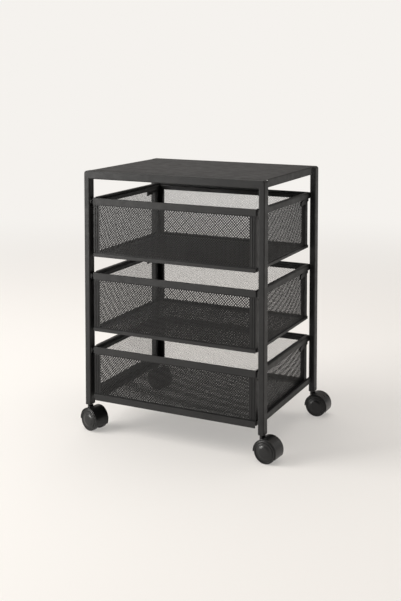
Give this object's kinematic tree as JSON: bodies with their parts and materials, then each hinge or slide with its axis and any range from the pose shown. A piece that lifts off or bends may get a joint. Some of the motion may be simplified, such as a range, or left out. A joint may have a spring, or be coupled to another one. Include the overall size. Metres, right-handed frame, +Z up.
{
  "type": "rolling storage cart",
  "caption": "Rolling storage cart with two inverted-U tube frames, a sheet top, pull-out expanded-mesh drawers on side runners and twin-wheel swivel castors.",
  "frame": {"origin": "on the floor under the middle of the frame, half way between the four castor stems", "axes": "+Z up, the drawers open towards -Y, +X to the right of someone facing the drawers"},
  "size_m": [0.4864, 0.3599, 0.592],
  "materials": {
    "powder_coat": "satin",
    "mesh_coat": "satin",
    "steel": "satin",
    "plastic": "satin",
    "wheel_plastic": "semi-gloss"
  },
  "bodies": {
    "frame": {"front_frame": "powder_coat", "rear_frame": "powder_coat", "top_plate": "powder_coat", "plate_screws": "steel", "lower_rail_left": "powder_coat", "lower_rail_right": "powder_coat", "runner_left_top": "powder_coat", "runner_left_middle": "powder_coat", "runner_left_bottom": "powder_coat", "runner_right_top": "powder_coat", "runner_right_middle": "powder_coat", "runner_right_bottom": "powder_coat", "stop_studs": "powder_coat", "runner_rivets": "steel", "post_sockets": "plastic", "castor_stems": "steel"},
    "top_drawer": {"top_rim": "powder_coat", "top_base_frame": "powder_coat", "top_front_mesh": "mesh_coat", "top_rear_mesh": "mesh_coat", "top_left_mesh": "mesh_coat", "top_right_mesh": "mesh_coat", "top_floor_mesh": "mesh_coat", "top_corner_angles": "powder_coat", "top_stop_hooks": "powder_coat"},
    "middle_drawer": {"middle_rim": "powder_coat", "middle_base_frame": "powder_coat", "middle_front_mesh": "mesh_coat", "middle_rear_mesh": "mesh_coat", "middle_left_mesh": "mesh_coat", "middle_right_mesh": "mesh_coat", "middle_floor_mesh": "mesh_coat", "middle_corner_angles": "powder_coat", "middle_stop_hooks": "powder_coat"},
    "bottom_drawer": {"bottom_rim": "powder_coat", "bottom_base_frame": "powder_coat", "bottom_front_mesh": "mesh_coat", "bottom_rear_mesh": "mesh_coat", "bottom_left_mesh": "mesh_coat", "bottom_right_mesh": "mesh_coat", "bottom_floor_mesh": "mesh_coat", "bottom_corner_angles": "powder_coat", "bottom_stop_hooks": "powder_coat"},
    "front_left_castor": {"front_left_hood": "plastic", "front_left_axle": "steel"},
    "front_left_wheel_a": {"front_left_wheel_a": "wheel_plastic"},
    "front_left_wheel_b": {"front_left_wheel_b": "wheel_plastic"},
    "front_right_castor": {"front_right_hood": "plastic", "front_right_axle": "steel"},
    "front_right_wheel_a": {"front_right_wheel_a": "wheel_plastic"},
    "front_right_wheel_b": {"front_right_wheel_b": "wheel_plastic"},
    "rear_left_castor": {"rear_left_hood": "plastic", "rear_left_axle": "steel"},
    "rear_left_wheel_a": {"rear_left_wheel_a": "wheel_plastic"},
    "rear_left_wheel_b": {"rear_left_wheel_b": "wheel_plastic"},
    "rear_right_castor": {"rear_right_hood": "plastic", "rear_right_axle": "steel"},
    "rear_right_wheel_a": {"rear_right_wheel_a": "wheel_plastic"},
    "rear_right_wheel_b": {"rear_right_wheel_b": "wheel_plastic"}
  },
  "joints": [
    {"name": "top_drawer_slide", "type": "slide", "parent": "frame", "child": "top_drawer", "axis": [0, -1, 0], "range_m": [0, 0.243]},
    {"name": "middle_drawer_slide", "type": "slide", "parent": "frame", "child": "middle_drawer", "axis": [0, -1, 0], "range_m": [0, 0.243]},
    {"name": "bottom_drawer_slide", "type": "slide", "parent": "frame", "child": "bottom_drawer", "axis": [0, -1, 0], "range_m": [0, 0.243]},
    {"name": "front_left_swivel", "type": "hinge", "parent": "frame", "child": "front_left_castor", "pos_m": [-0.213, -0.155, 0.054], "axis": [0, 0, 1], "continuous": true},
    {"name": "front_left_wheel_a_roll", "type": "hinge", "parent": "front_left_castor", "child": "front_left_wheel_a", "pos_m": [-0.20014, -0.15878, 0.025], "axis": [0.2823, 0.9593, 0], "continuous": true},
    {"name": "front_left_wheel_b_roll", "type": "hinge", "parent": "front_left_castor", "child": "front_left_wheel_b", "pos_m": [-0.20014, -0.15878, 0.025], "axis": [0.2823, 0.9593, 0], "continuous": true},
    {"name": "front_right_swivel", "type": "hinge", "parent": "frame", "child": "front_right_castor", "pos_m": [0.213, -0.155, 0.054], "axis": [0, 0, 1], "continuous": true},
    {"name": "front_right_wheel_a_roll", "type": "hinge", "parent": "front_right_castor", "child": "front_right_wheel_a", "pos_m": [0.22635, -0.15617, 0.025], "axis": [0.0872, 0.9962, 0], "continuous": true},
    {"name": "front_right_wheel_b_roll", "type": "hinge", "parent": "front_right_castor", "child": "front_right_wheel_b", "pos_m": [0.22635, -0.15617, 0.025], "axis": [0.0872, 0.9962, 0], "continuous": true},
    {"name": "rear_left_swivel", "type": "hinge", "parent": "frame", "child": "rear_left_castor", "pos_m": [-0.213, 0.155, 0.054], "axis": [0, 0, 1], "continuous": true},
    {"name": "rear_left_wheel_a_roll", "type": "hinge", "parent": "rear_left_castor", "child": "rear_left_wheel_a", "pos_m": [-0.1998, 0.15267, 0.025], "axis": [0.1736, 0.9848, 0], "continuous": true},
    {"name": "rear_left_wheel_b_roll", "type": "hinge", "parent": "rear_left_castor", "child": "rear_left_wheel_b", "pos_m": [-0.1998, 0.15267, 0.025], "axis": [0.1736, 0.9848, 0], "continuous": true},
    {"name": "rear_right_swivel", "type": "hinge", "parent": "frame", "child": "rear_right_castor", "pos_m": [0.213, 0.155, 0.054], "axis": [0, 0, 1], "continuous": true},
    {"name": "rear_right_wheel_a_roll", "type": "hinge", "parent": "rear_right_castor", "child": "rear_right_wheel_a", "pos_m": [0.2264, 0.15491, 0.025], "axis": [0.007, 1, 0], "continuous": true},
    {"name": "rear_right_wheel_b_roll", "type": "hinge", "parent": "rear_right_castor", "child": "rear_right_wheel_b", "pos_m": [0.2264, 0.15491, 0.025], "axis": [0.007, 1, 0], "continuous": true}
  ]
}
